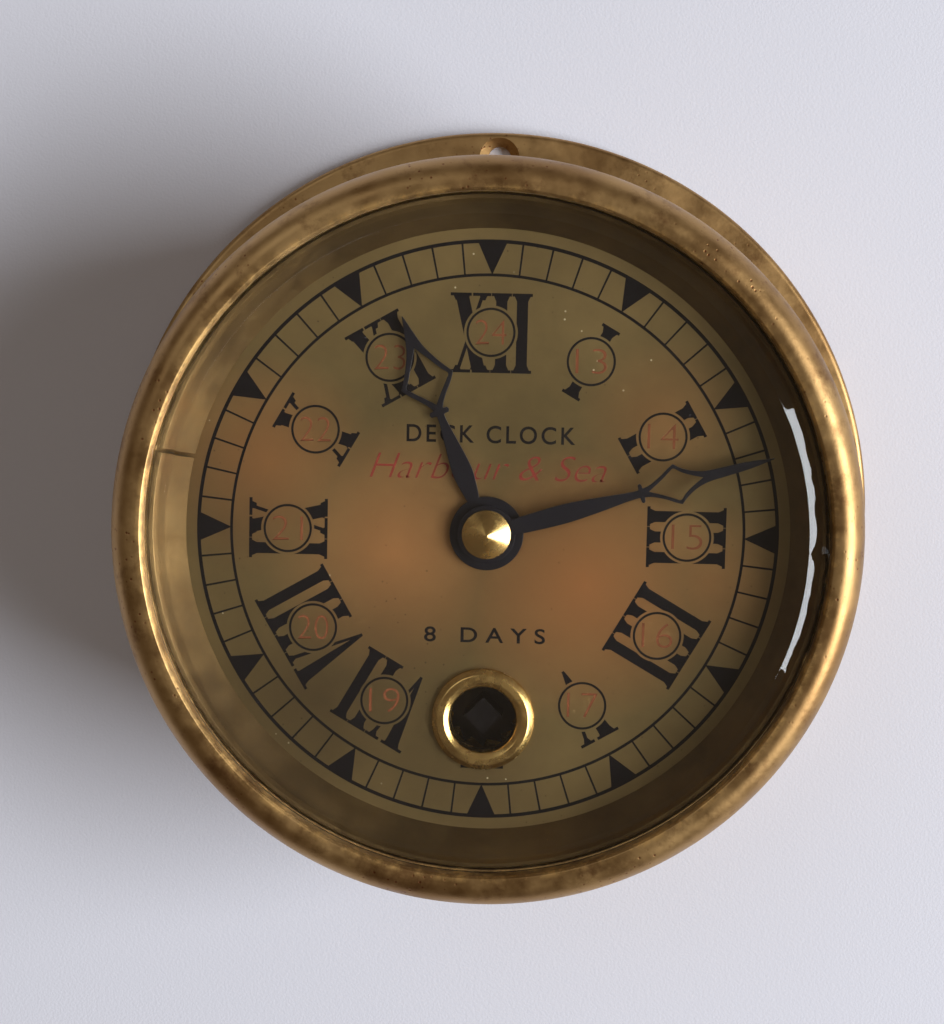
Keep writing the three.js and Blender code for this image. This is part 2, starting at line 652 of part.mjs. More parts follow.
// ---------------------------------------------------------------- escapement and balance
function escapeWheel() {
  const pitch = TURN / ESCAPE.teeth;
  const points = [];
  for (let i = 0; i < ESCAPE.teeth; i++) {
    const a = i * pitch;
    points.push(polar(ESCAPE.radius, a), polar(ESCAPE.radius, a + 0.06));
    points.push(polar(ESCAPE.radius - 1, a + 0.3 * pitch + 0.05), polar(ESCAPE.radius - 1, a + 0.8 * pitch));
  }
  const holes = [hole(ESCAPE_SHAFT_R + FIT, PIN_SIDES), ...spokeWindows(ESCAPE.radius - 1.6, 1.5, 4, 0.2)];
  return sheet(points, LEVER_Z + 0.1, 0.6, holes);
}

// The lever lies along +x from its arbor to the fork, with a pallet on each side behind the arbor.
function palletLever() {
  const escape = new THREE.Vector2(-ESCAPE.radius / Math.cos(degrees(30)), 0);
  const onWheel = (r, angle) => polar(r, degrees(angle)).add(escape);
  const stone = ESCAPE.radius + STONE_CLEAR;
  const side = [
    new THREE.Vector2(-0.55, 0), new THREE.Vector2(-0.3, 1.2), onWheel(stone + 0.5, 27), onWheel(stone, 27),
    onWheel(stone, 33), onWheel(stone + 1, 33), new THREE.Vector2(0.5, 1.2), new THREE.Vector2(0.8, 0.5),
    new THREE.Vector2(5.4, 0.4), new THREE.Vector2(6.2, 0.9), new THREE.Vector2(7, 0.85),
    new THREE.Vector2(7, 0.4), new THREE.Vector2(6.2, 0.4), new THREE.Vector2(6.2, 0),
  ];
  const mirrored = side.slice(1, -1).map((p) => new THREE.Vector2(p.x, -p.y));
  const lever = sheet([...side, ...mirrored.reverse()], LEVER_Z, LEVER_T);
  return joined(arborShaft(LEVER_SHAFT_R, LEVER_PIVOT_R), lever);
}

// The staff carries the balance, the hairspring's collet and the roller with its impulse pin.
function balanceStaff() {
  const shaft = turned(
    [
      [0, BACK_PLATE_Z], [BALANCE_PIVOT_R, BACK_PLATE_Z], [BALANCE_PIVOT_R, BACK_INSIDE + SHOULDER],
      [BALANCE_SHAFT_R, BACK_INSIDE + SHOULDER], [BALANCE_SHAFT_R, 13], [1.4, 13], [1.4, 13.8],
      [BALANCE_SHAFT_R, 13.8], [BALANCE_SHAFT_R, HAIRSPRING_Z], [1.1, HAIRSPRING_Z], [1.1, 20.8],
      [0.6, 20.8], [0.6, COCK_BOTTOM - 0.2], [BALANCE_PIVOT_R, COCK_BOTTOM - 0.2],
      [BALANCE_PIVOT_R, COCK_BOTTOM + COCK_T], [0, COCK_BOTTOM + COCK_T],
    ],
    PIN_SIDES,
  );
  const impulsePin = rod(0.25, 13.4, 15.2, 8).translate(1.1, 0, 0);
  return joined(shaft, impulsePin);
}

function balanceWheel() {
  const holes = [hole(BALANCE_SHAFT_R + FIT, PIN_SIDES), ...spokeWindows(BALANCE_R - 1.1, 1.8, 2, 0.12)];
  return sheet(round(BALANCE_R, DISC_SIDES), 18, 1.2, holes);
}

// The cock's foot stands on the back plate; a stud under its arm holds the hairspring's outer end.
function balanceCock() {
  const foot = turned(
    [
      [SCREW_SHANK_R + FIT, BACK_INSIDE], [2, BACK_INSIDE], [2, COCK_BOTTOM + COCK_T],
      [0, COCK_BOTTOM + COCK_T], [0, SCREW_HOLE_END], [SCREW_SHANK_R + FIT, SCREW_HOLE_END],
    ],
    PIN_SIDES,
  );
  const toBalance = balanceAt.clone().sub(cockFootAt);
  const bar = arm(toBalance.clone().multiplyScalar(1.17), 2, 1.3, COCK_BOTTOM, COCK_T);
  const pivotHole = rod(BALANCE_PIVOT_R + RUN, COCK_BOTTOM - 1, COCK_BOTTOM + 4);
  const studAt = toBalance.clone().multiplyScalar(1 - (HAIRSPRING_R + 0.45) / toBalance.length());
  const stud = rod(0.3, HAIRSPRING_Z, COCK_BOTTOM + 0.5, 8).translate(studAt.x, studAt.y, 0);
  return cut(joined(foot, bar, stud), pivotHole.translate(toBalance.x, toBalance.y, 0));
}

// ---------------------------------------------------------------- motion work
function cannonPinion() {
  const phase = spaceTo(centreAt, minutePostAt, CANNON_LEAVES);
  const pinion = sheet(toothed(CANNON_LEAVES, MOTION_MODULE, phase, PINION_LEAVES), MOTION_Z, 1.4);
  const tube = turned(
    [
      [0, MOTION_Z + 0.5], [CANNON_TUBE_R, MOTION_Z + 0.5], [CANNON_TUBE_R, MINUTE_SEAT_Z],
      [CANNON_END_R, MINUTE_SEAT_Z], [CANNON_END_R, MINUTE_SEAT_Z + HAND_T], [0, MINUTE_SEAT_Z + HAND_T],
    ],
    PIN_SIDES,
  );
  return cut(joined(pinion, tube), rod(CENTRE_FRONT_R + RUN, MOTION_Z - 1, 40));
}

function minuteWheel() {
  const toCentre = bearing(minutePostAt, centreAt);
  const phase = spaceTo(minutePostAt, centreAt, MINUTE_LEAVES);
  const lower = sheet(toothed(MINUTE_TEETH, MOTION_MODULE, toCentre, WHEEL_TEETH), MOTION_Z + 0.3, 0.8);
  const upper = sheet(toothed(MINUTE_LEAVES, MOTION_MODULE, phase, PINION_LEAVES), MOTION_Z + 0.6, 3);
  return cut(joined(lower, upper), rod(MINUTE_POST_R + RUN, MOTION_Z - 1, 40));
}

function hourWheel() {
  const phase = bearing(centreAt, minutePostAt);
  const gear = sheet(toothed(HOUR_TEETH, MOTION_MODULE, phase, WHEEL_TEETH), HOUR_GEAR_Z, 0.8);
  const top = HOUR_SEAT_Z + HAND_T;
  const pipe = turned(
    [
      [0, HOUR_GEAR_Z], [HOUR_PIPE_R, HOUR_GEAR_Z], [HOUR_PIPE_R, HOUR_SEAT_Z], [HOUR_END_R, HOUR_SEAT_Z],
      [HOUR_END_R, top], [0, top],
    ],
    PIN_SIDES,
  );
  return cut(joined(gear, pipe), rod(CANNON_TUBE_R + RUN, 27, 40));
}

function handNut() {
  const bottom = MINUTE_SEAT_Z + HAND_T;
  const bore = NUT_THREAD_R + RUN;
  const boreTop = CENTRE_TOP + 0.2;
  return turned(
    [
      [bore, bottom], [3.4, bottom], [3.4, bottom + 0.35], [1.2, bottom + 1.5], [0.35, bottom + 2.08],
      [0, bottom + 2.18], [0, boreTop], [bore, boreTop],
    ],
    24,
  );
}

// ---------------------------------------------------------------- assembly
place("case_body", caseBody(), AGED_BRASS);
place("rear_cover", rearCover(), AGED_BRASS);
COVER_SCREW_ANGLES.forEach((angle, i) => {
  const { x, y } = clock(COVER_SCREW_R, angle);
  place(`cover_screw_${i + 1}`, slottedScrew(1.5, 0.1, 0.7, 0.8, 4.4), STEEL, x, y);
});
place("dial", dial(), DIAL_BRASS);
place("dial_surround", dialSurround(), AGED_BRASS);
place("winding_grommet", windingGrommet(), BRASS, 0, WINDING_Y);

place("bezel", bezel(), AGED_BRASS);
place("glass", glass(), GLASS);
place("glass_gasket", flatRing(46.8, 48.5, GASKET_BOTTOM, GLASS_BACK), RUBBER);
place("glass_retaining_ring", retainingRing(), BRASS);
place("bezel_gasket", flatRing(48.4, 49.5, CASE_TOP, BEZEL_BOTTOM), RUBBER);

FOOT_ANGLES.forEach((angle, i) => {
  const { x, y } = clock(FOOT_R, angle);
  place(`dial_foot_pin_${i + 1}`, crossRod(FOOT_PIN_R, 6, FOOT_PIN_Z), STEEL, x, y);
});
place("back_plate", backPlate(), BRASS);
place("front_plate", frontPlate(), BRASS);
pillarPlaces.forEach(({ x, y }, i) => {
  place(`pillar_${i + 1}`, pillar(), BRASS, x, y);
  place(`pillar_screw_${i + 1}`, plateScrew(), STEEL, x, y);
});

place("barrel_drum", barrelDrum(), BRASS, barrelAt.x, barrelAt.y);
place("barrel_cap", barrelCap(), BRASS, barrelAt.x, barrelAt.y);
place("barrel_arbor", barrelArbor(), STEEL, barrelAt.x, barrelAt.y);
place("mainspring", spiral(3.2, 10.2, 6, 0.4, 12.8, 6.6, 10), STEEL, barrelAt.x, barrelAt.y);
place("ratchet_wheel", ratchetWheel(), STEEL, barrelAt.x, barrelAt.y);
const screwPassage = () => hole(CLICK_SCREW_R + RUN, PIN_SIDES);
const click = arm(clickTip, 1.3, 0.05, RATCHET_Z, RATCHET_T, screwPassage());
place("click", click, STEEL, clickAt.x, clickAt.y);
const clickSpring = arm(clickSpringTip, 1.2, 0.15, RATCHET_Z, CLICK_SPRING_T, screwPassage());
place("click_spring", clickSpring, STEEL, clickSpringAt.x, clickSpringAt.y);
const frontScrew = (seat) => slottedScrew(1.1, seat + 0.6, seat, CLICK_SCREW_R, FRONT_PLATE_Z + 0.1);
place("click_screw", frontScrew(RATCHET_Z + RATCHET_T + FIT), STEEL, clickAt.x, clickAt.y);
const springSeat = RATCHET_Z + CLICK_SPRING_T + FIT;
place("click_spring_screw", frontScrew(springSeat), STEEL, clickSpringAt.x, clickSpringAt.y);

// An arbor whose pinion is driven from one centre and whose wheel drives the next.
function placeArbor(name, at, { from, to, shaftR, pivotR, pinion, wheelForm }) {
  const leaves = toothed(pinion.leaves, pinion.module, spaceTo(at, from, pinion.leaves), PINION_LEAVES);
  const arbor = joined(arborShaft(shaftR, pivotR), sheet(leaves, pinion.z, pinion.length));
  place(`${name}_arbor`, arbor, STEEL, at.x, at.y);
  const { teeth, module, z, thickness } = wheelForm;
  const gear = wheel(teeth, module, bearing(at, to), z, thickness, shaftR + FIT);
  place(`${name}_wheel`, gear, BRASS, at.x, at.y);
}

placeArbor("intermediate", intermediateAt, {
  from: barrelAt,
  to: centreAt,
  shaftR: 1.1,
  pivotR: INTERMEDIATE_PIVOT_R,
  pinion: { leaves: INTERMEDIATE.leaves, module: BARREL.module, z: 10.9, length: 2.6 },
  wheelForm: { teeth: INTERMEDIATE.teeth, module: INTERMEDIATE.module, z: 21.4, thickness: 1 },
});
const centreWheel = wheel(
  CENTRE.teeth, CENTRE.module, bearing(centreAt, thirdAt), 17, 0.8, CENTRE_SHAFT_R + FIT,
);
place("centre_arbor", centreArbor(), STEEL);
place("centre_wheel", centreWheel, BRASS);
placeArbor("third", thirdAt, {
  from: centreAt,
  to: fourthAt,
  shaftR: 0.8,
  pivotR: TRAIN_PIVOT_R,
  pinion: { leaves: THIRD.leaves, module: CENTRE.module, z: 16.5, length: 1.8 },
  wheelForm: { teeth: THIRD.teeth, module: THIRD.module, z: 13.2, thickness: 0.7 },
});
placeArbor("fourth", fourthAt, {
  from: thirdAt,
  to: escapeAt,
  shaftR: 0.7,
  pivotR: TRAIN_PIVOT_R,
  pinion: { leaves: FOURTH.leaves, module: THIRD.module, z: 12.7, length: 1.7 },
  wheelForm: { teeth: FOURTH.teeth, module: FOURTH.module, z: 19.4, thickness: 0.6 },
});
const escapePhase = spaceTo(escapeAt, fourthAt, ESCAPE.leaves);
const escapePinion = sheet(toothed(ESCAPE.leaves, FOURTH.module, escapePhase, PINION_LEAVES), 18.9, 1.6);
const escapeArbor = joined(arborShaft(ESCAPE_SHAFT_R, TRAIN_PIVOT_R), escapePinion);
place("escape_arbor", escapeArbor, STEEL, escapeAt.x, escapeAt.y);
place("escape_wheel", escapeWheel(), STEEL, escapeAt.x, escapeAt.y);
place("pallet_lever", palletLever(), STEEL, palletAt.x, palletAt.y, LEVER_LINE);
place("balance_staff", balanceStaff(), STEEL, balanceAt.x, balanceAt.y, LEVER_LINE + Math.PI / 2);
place("balance_wheel", balanceWheel(), BRASS, balanceAt.x, balanceAt.y, LEVER_LINE + Math.PI / 2);
const hairspring = spiral(1.35, HAIRSPRING_R, 5, 0.14, HAIRSPRING_Z + 0.1, 0.5, 10);
place("hairspring", hairspring, STEEL, balanceAt.x, balanceAt.y, bearing(balanceAt, cockFootAt));
place("balance_cock", balanceCock(), BRASS, cockFootAt.x, cockFootAt.y);
place("balance_cock_screw", plateScrew(), STEEL, cockFootAt.x, cockFootAt.y);

place("cannon_pinion", cannonPinion(), STEEL);
place("minute_wheel", minuteWheel(), BRASS, minutePostAt.x, minutePostAt.y);
place("hour_wheel", hourWheel(), BRASS);
const hourHand = hand(HOUR_HAND, HOUR_SEAT_Z, HAND_T, HOUR_END_R + FIT);
const minuteHand = hand(MINUTE_HAND, MINUTE_SEAT_Z, HAND_T, CANNON_END_R + FIT);
place("hour_hand", hourHand.rotateZ(-degrees(HOUR_ANGLE)), BLACK);
place("minute_hand", minuteHand.rotateZ(-degrees(MINUTE_ANGLE)), BLACK);
place("hand_nut", handNut(), BRASS);

export default clockAssembly;
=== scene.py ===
"""A brass ship's deck clock lying on its back on a pale floor, in metres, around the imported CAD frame."""
import json
import math

import bmesh
import bpy
from mathutils import Matrix, Vector, noise


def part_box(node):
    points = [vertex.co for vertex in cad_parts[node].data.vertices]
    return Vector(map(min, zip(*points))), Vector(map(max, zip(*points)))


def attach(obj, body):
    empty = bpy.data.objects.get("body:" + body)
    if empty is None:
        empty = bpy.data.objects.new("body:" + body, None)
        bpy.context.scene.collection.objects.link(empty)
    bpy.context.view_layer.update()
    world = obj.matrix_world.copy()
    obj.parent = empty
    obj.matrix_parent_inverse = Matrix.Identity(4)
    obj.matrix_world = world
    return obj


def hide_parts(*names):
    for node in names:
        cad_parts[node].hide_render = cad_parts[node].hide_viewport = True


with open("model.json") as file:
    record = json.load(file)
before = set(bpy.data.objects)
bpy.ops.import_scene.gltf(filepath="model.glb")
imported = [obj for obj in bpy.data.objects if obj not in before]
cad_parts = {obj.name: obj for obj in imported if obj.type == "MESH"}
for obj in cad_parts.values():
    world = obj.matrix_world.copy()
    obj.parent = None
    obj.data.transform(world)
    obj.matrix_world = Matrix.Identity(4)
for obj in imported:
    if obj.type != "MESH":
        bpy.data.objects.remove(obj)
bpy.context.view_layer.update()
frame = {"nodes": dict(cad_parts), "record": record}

MM = 0.001
TURN = 2 * math.pi
FINE = 256  # segments of the large turned pieces
MEDIUM = 96

# Places read from the frame, in millimetres.
def mm_box(node):
    low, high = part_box(node)
    return [c / MM for c in low], [c / MM for c in high]


dial_high = mm_box("dial")[1]
DIAL_Z = dial_high[2]
DIAL_BACK = DIAL_Z - 1
flange_high = mm_box("case_body")[1]
FLANGE_R = flange_high[0]
CASE_COLLAR_TOP = flange_high[2]
bezel_low, bezel_high = mm_box("bezel")
BEZEL_R = bezel_high[0]
BEZEL_BOTTOM = bezel_low[2]
BEZEL_TOP = bezel_high[2]
glass_low, glass_high = mm_box("glass")
GLASS_R = glass_high[0]
GLASS_BACK = glass_low[2]
GLASS_TOP = glass_high[2]
grommet_low, grommet_high = mm_box("winding_grommet")
WINDING_Y = (grommet_low[1] + grommet_high[1]) / 2
LIP_R = 47
GLASS_RIM = GLASS_TOP - 1.35
GLASS_FLAT_R = 44
BEVEL_R = 46.9
CHIPS_AT = 92  # degrees clockwise from twelve
CHIPS_REACH = 26
NOTCH_AT = 91.5

MINUTE_ANGLE = 73.8  # degrees clockwise from twelve
HOUR_ANGLE = 337.6
FLANGE_HOLE_ANGLES = (0, 120, 240)
COVER_SCREW_ANGLES = (30, 150, 270)
SURROUND_JOINT_AT = 283.5

# The case and the bezel, in millimetres.
DRUM_R = 49.6
COLLAR_R = 48.2
SHOULDER_Z = 31
COVER_OPENING_R = 41.5
BEZEL_BORE_R = 48.7
BEZEL_SHOULDER_Z = 38.0
BEZEL_ROLL_STEPS = 16

# Prints on the dial, in millimetres.
PRINT_STEP = 0.012  # thickness of a printed layer
PRINT_LIFT = 0.0005  # between overlapping strokes of one layer, so that no two faces lie at one height
RING_OUTER = 40.4
RING_INNER = 35.8
HOURS = ["I", "II", "III", "IIII", "V", "VI", "VII", "VIII", "IX", "X", "XI", "XII"]
NUMERAL_FOOT = 22.3
NUMERAL_HEIGHT = 11.0
NUMERAL_GAP = 0.08  # between two letters
SERIF = 0.42
SERIF_REACH = 0.62  # past each side of the stem of an I
THICK = 1.55
THIN = 0.5
TOP = NUMERAL_HEIGHT - SERIF
AFTERNOON_R = 27.9
AFTERNOON_RING = 3.4
AFTERNOON_CLEAR = 3.72  # the bare disc that a ring stands on
AFTERNOON_HEIGHT = 3.45

# Patches of painted shade on the dial, darker on the lower left and towards six and nine, and of warmer
# tarnish: x, y, reach in millimetres and strength.
PAINTED_SHADE_PATCHES = [(-22, -24, 22, 0.6), (0, -34, 13, 0.4), (-36, 0, 14, 0.35)]
WARM_PATCHES = [
    (14, -7, 20, 0.9), (-13, -3, 19, 0.7), (-31, 9, 16, 0.6), (31, -6, 12, 0.4), (24, 16, 12, 0.35),
]

CAMERA_DISTANCE = 281  # millimetres, to the dial as it is seen through the glass
CAMERA_LENS = 70.5
TILT = 6.0  # degrees that the camera leans towards twelve, and a little towards three
PAN = -1.74
ROLL = -1.36
OFFSET_X = 2.07
OFFSET_Y = -2.88
FLOOR_HALF = 6.0  # metres
FLOOR_GAP = 0.0001  # metres, keeps the floor clear of the plane of the flange's back


# ---------------------------------------------------------------- making pieces
def add(name, vertices, faces, material, body, slot, nodes=(), smooth_angle=30):
    """A mesh piece from vertices in millimetres, declared to the frame."""
    name = name.replace(" ", "_")
    mesh = bpy.data.meshes.new(name)
    mesh.from_pydata([Vector(v) * MM for v in vertices], [], faces)
    mesh.validate()
    tidy = bmesh.new()
    tidy.from_mesh(mesh)
    bmesh.ops.remove_doubles(tidy, verts=tidy.verts, dist=1e-7)
    bmesh.ops.recalc_face_normals(tidy, faces=tidy.faces)
    tidy.to_mesh(mesh)
    tidy.free()
    piece = bpy.data.objects.new(name, mesh)
    bpy.context.scene.collection.objects.link(piece)
    finish_piece(piece, material, smooth_angle)
    declare(piece, body, nodes)
    return piece


def finish_piece(piece, material, smooth_angle=30):
    piece.data.materials.clear()
    piece.data.materials.append(material)
    piece.data.shade_smooth()
    piece.data.set_sharp_from_angle(angle=math.radians(smooth_angle))


def declare(piece, body, nodes=()):
    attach(piece, body)
    if nodes:
        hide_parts(*nodes)


def filleted(outline, steps=5):
    """An outline of (r, z) or (r, z, fillet radius) points, with its corners rounded. It is closed."""
    count = len(outline)
    rounded = []
    for i, corner in enumerate(outline):
        here = Vector(corner[:2])
        if len(corner) < 3:
            rounded.append(here)
            continue
        before = Vector(outline[i - 1][:2]) - here
        after = Vector(outline[(i + 1) % count][:2]) - here
        half = before.angle(after) / 2
        run = min(corner[2] / math.tan(half), before.length * 0.49, after.length * 0.49)
        radius = run * math.tan(half)
        centre = here + (before.normalized() + after.normalized()).normalized() * (radius / math.sin(half))
        start = here + before.normalized() * run - centre
        end = here + after.normalized() * run - centre
        sweep = start.angle_signed(end)
        for k in range(steps + 1):
            rounded.append(centre + Matrix.Rotation(-sweep * k / steps, 2) @ start)
    return rounded


def turned(outline, sides=FINE, x=0.0, y=0.0):
    """Vertices and faces of a closed outline turned about a vertical axis. Points on the axis become one."""
    points = filleted(outline)
    vertices = []
    faces = []
    rows = len(points)
    for i in range(sides):
        a = i * TURN / sides
        vertices += [(x + r * math.cos(a), y + r * math.sin(a), z) for r, z in points]
    for i in range(sides):
        for j in range(rows):
            a, b = i * rows + j, i * rows + (j + 1) % rows
            c, d = ((i + 1) % sides) * rows + (j + 1) % rows, ((i + 1) % sides) * rows + j
            if points[j][0] < 1e-6 and points[(j + 1) % rows][0] < 1e-6:
                continue
            faces.append((a, b, c, d))
    return vertices, faces


def prism(outline, bottom, top):
    """Vertices and faces of a flat outline of (x, y) points, raised from bottom to top."""
    count = len(outline)
    vertices = [(x, y, bottom) for x, y in outline] + [(x, y, top) for x, y in outline]
    faces = [tuple(range(count))[::-1], tuple(range(count, 2 * count))]
    faces += [(i, (i + 1) % count, count + (i + 1) % count, count + i) for i in range(count)]
    return vertices, faces


def merged(parts):
    """Several (vertices, faces) as one."""
    vertices = []
    faces = []
    for some_vertices, some_faces in parts:
        start = len(vertices)
        vertices += some_vertices
        faces += [tuple(start + i for i in face) for face in some_faces]
    return vertices, faces


def cut(piece, vertices, faces):
    """Cuts one closed shape out of a piece."""
    mesh = bpy.data.meshes.new("cutter")
    mesh.from_pydata([Vector(v) * MM for v in vertices], [], faces)
    cutter = bpy.data.objects.new("cutter", mesh)
    bpy.context.scene.collection.objects.link(cutter)
    fix = bmesh.new()
    fix.from_mesh(mesh)
    bmesh.ops.remove_doubles(fix, verts=fix.verts, dist=1e-7)
    bmesh.ops.recalc_face_normals(fix, faces=fix.faces)
    fix.to_mesh(mesh)
    fix.free()
    modifier = piece.modifiers.new("cut", "BOOLEAN")
    modifier.object = cutter
    modifier.solver = "EXACT"
    modifier.operation = "DIFFERENCE"
    bpy.context.view_layer.update()
    solved = bpy.data.meshes.new_from_object(piece.evaluated_get(bpy.context.evaluated_depsgraph_get()))
    piece.modifiers.clear()
    piece.data = solved
    bpy.data.objects.remove(cutter)


def clock(radius, degrees):
    """The point at a radius and an angle clockwise from twelve."""
    a = math.radians(degrees)
    return radius * math.sin(a), radius * math.cos(a)


# ---------------------------------------------------------------- materials
class Shader:
    """A Principled material with short calls for the nodes that it needs."""

    def __init__(self, name):
        self.material = bpy.data.materials.new(name)
        self.material.use_nodes = True
        self.tree = self.material.node_tree
        self.surface = self.tree.nodes["Principled BSDF"]
        self.place = self.node("ShaderNodeTexCoord").outputs["Object"]

    def node(self, kind, **inputs):
        made = self.tree.nodes.new(kind)
        for key, value in inputs.items():
            self.put(made.inputs[key.replace("_", " ")], value)
        return made

    def put(self, socket, value):
        if isinstance(value, bpy.types.NodeSocket):
            self.tree.links.new(value, socket)
        else:
            socket.default_value = value

    def set(self, **inputs):
        for key, value in inputs.items():
            self.put(self.surface.inputs[key.replace("_", " ")], value)

    def noise(self, scale, detail=4.0, rough=0.55, stretch=None):
        place = self.place
        if stretch:
            mapping = self.node("ShaderNodeMapping", Vector=place)
            mapping.inputs["Scale"].default_value = stretch
            place = mapping.outputs["Vector"]
        made = self.node("ShaderNodeTexNoise", Vector=place, Scale=scale, Detail=detail, Roughness=rough)
        return made.outputs["Fac"]

    def spots(self, scale):
        made = self.node("ShaderNodeTexVoronoi", Vector=self.place, Scale=scale)
        return made.outputs["Distance"]

    def ramp(self, value, low, high, a=0.0, b=1.0):
        made = self.node("ShaderNodeMapRange", Value=value)
        made.inputs["From Min"].default_value = low
        made.inputs["From Max"].default_value = high
        made.inputs["To Min"].default_value = a
        made.inputs["To Max"].default_value = b
        return made.outputs["Result"]

    def math(self, kind, a, b=0.0):
        made = self.tree.nodes.new("ShaderNodeMath")
        made.operation = kind
        self.put(made.inputs[0], a)
        self.put(made.inputs[1], b)
        return made.outputs["Value"]

    def mix(self, share, a, b):
        made = self.tree.nodes.new("ShaderNodeMix")
        made.data_type = "RGBA"
        self.put(made.inputs["Factor"], share)
        self.put(made.inputs["A"], a)
        self.put(made.inputs["B"], b)
        return made.outputs["Result"]

    def bump(self, height, strength, distance):
        made = self.node("ShaderNodeBump", Height=height, Strength=strength, Distance=distance)
        self.set(Normal=made.outputs["Normal"])

    def away(self, x, y):
        """The distance from an upright axis through a point in millimetres, whatever the height."""
        offset = self.tree.nodes.new("ShaderNodeVectorMath")
        offset.operation = "DISTANCE"
        flat = self.tree.nodes.new("ShaderNodeVectorMath")
        flat.operation = "MULTIPLY"
        self.put(flat.inputs[0], self.place)
        flat.inputs[1].default_value = (1, 1, 0)
        self.put(offset.inputs[0], flat.outputs["Vector"])
        offset.inputs[1].default_value = (x * MM, y * MM, 0)
        return offset.outputs["Value"]

    def near(self, x, y, reach):
        """1 on an upright axis through a point, falling to 0 at a distance, both in millimetres."""
        return self.ramp(self.away(x, y), reach * MM, 0.0)


def rgb(red, green, blue):
    """A linear colour from 0 to 255 display values."""
    def linear(c):
        c /= 255
        return c / 12.92 if c <= 0.04045 else ((c + 0.055) / 1.055) ** 2.4
    return (linear(red), linear(green), linear(blue), 1.0)


def aged_brass():
    s = Shader("aged brass")
    cloud = s.ramp(s.noise(55, 6, 0.62), 0.36, 0.64)
    base = s.mix(cloud, rgb(158, 122, 78), rgb(196, 160, 108))
    stain = s.ramp(s.noise(140, 8, 0.7), 0.54, 0.68, 0.0, 0.75)
    base = s.mix(stain, base, rgb(120, 84, 52))
    pits = s.ramp(s.spots(900), 0.2, 0.08, 0.0, 0.8)
    pits = s.math("MULTIPLY", pits, s.ramp(s.noise(90, 3), 0.5, 0.6))
    base = s.mix(pits, base, rgb(110, 48, 26))
    # Brighter brass round the bezel's inner lip: rubbed wear, and also a painted highlight along the inner
    # edge.
    lip = s.ramp(s.away(0, 0), (LIP_R + 1.1) * MM, (LIP_R + 0.5) * MM)
    wear_and_highlight = s.math("MULTIPLY", lip, s.ramp(s.noise(330, 5, 0.7), 0.45, 0.6))
    base = s.mix(wear_and_highlight, base, rgb(222, 180, 116))
    s.set(Base_Color=base, Metallic=1.0)
    s.set(Roughness=s.ramp(s.noise(220, 6), 0.3, 0.7, 0.34, 0.54))
    rough = s.math("ADD", s.math("MULTIPLY", s.noise(1200, 3), 0.4), s.noise(260, 5))
    s.bump(s.math("SUBTRACT", rough, pits), 0.25, 0.0002)
    return s.material


def dial_metal():
    s = Shader("dial brass")
    cloud = s.ramp(s.noise(38, 5, 0.6), 0.35, 0.65)
    base = s.mix(cloud, rgb(112, 94, 58), rgb(134, 112, 70))
    warm = None
    for x, y, reach, amount in WARM_PATCHES:
        patch = s.math("MULTIPLY", s.near(x, y, reach), amount)
        warm = patch if warm is None else s.math("MAXIMUM", warm, patch)
    base = s.mix(warm, base, rgb(182, 122, 72))
    # Painted shade: the dial is darkened in broad patches on the lower left and towards six and nine.
    for x, y, reach, amount in PAINTED_SHADE_PATCHES:
        base = s.mix(s.math("MULTIPLY", s.near(x, y, reach), amount), base, rgb(74, 58, 38))
    speck = s.ramp(s.spots(700), 0.12, 0.05, 0.0, 0.5)
    speck = s.math("MULTIPLY", speck, s.ramp(s.noise(60, 2), 0.5, 0.6))
    base = s.mix(speck, base, rgb(50, 36, 20))
    dust = s.math("MULTIPLY", s.ramp(s.spots(420), 0.07, 0.04), s.ramp(s.noise(45, 2), 0.56, 0.6))
    base = s.mix(dust, base, rgb(214, 198, 160))
    grain = s.noise(900, 4, 0.6, stretch=(1, 9, 1))
    s.set(Base_Color=base, Metallic=0.86)
    s.set(Roughness=s.ramp(grain, 0.3, 0.7, 0.34, 0.48))
    s.bump(grain, 0.08, 0.0001)
    return s.material


def dull_brass():
    """The surround: olive brown, with a little wear."""
    s = Shader("dull brass")
    cloud = s.ramp(s.noise(70, 5, 0.6), 0.35, 0.65)
    base = s.mix(cloud, rgb(82, 64, 38), rgb(106, 84, 50))
    s.set(Base_Color=base, Metallic=0.9)
    s.set(Roughness=s.ramp(s.noise(300, 5), 0.3, 0.7, 0.34, 0.5))
    s.bump(s.noise(800, 4), 0.12, 0.0001)
    return s.material


def bright_brass(name, color, roughness):
    s = Shader(name)
    cloud = s.ramp(s.noise(160, 5), 0.35, 0.7)
    s.set(Base_Color=s.mix(cloud, color, [c * 0.7 for c in color[:3]] + [1.0]), Metallic=1.0)
    s.set(Roughness=s.ramp(s.noise(400, 4), 0.3, 0.7, roughness * 0.7, roughness * 1.3))
    s.bump(s.noise(1500, 2), 0.05, 0.0001)
    return s.material


def plain(name, color, roughness, metallic=0.0, gloss=0.5):
    s = Shader(name)
    s.set(Base_Color=color, Roughness=roughness, Metallic=metallic, Specular_IOR_Level=gloss)
    return s.material


def clear_glass():
    s = Shader("bevelled glass")
    s.set(Base_Color=(1, 1, 1, 1), Roughness=0.0, IOR=1.5)
    s.set(Transmission_Weight=1.0)
    return s.material


AGED_BRASS = aged_brass()
DIAL_BRASS = dial_metal()
DULL_BRASS = dull_brass()
BRASS = bright_brass("brass", rgb(222, 184, 112), 0.25)
STEEL = bright_brass("steel", rgb(190, 190, 192), 0.3)
DARK_STEEL = plain("dark steel", rgb(52, 50, 52), 0.35, 1.0)
PRINT = plain("black print", rgb(11, 8, 10), 0.6, gloss=0.08)
RED_PRINT = plain("red print", rgb(112, 40, 32), 0.6, gloss=0.08)
BROWN_PRINT = plain("red-brown print", rgb(108, 60, 36), 0.6, gloss=0.08)
HAND_BLACK = plain("black hand", rgb(11, 10, 16), 0.4, gloss=0.25)
RUBBER = plain("gasket", rgb(70, 56, 38), 0.8)
GLASS = clear_glass()


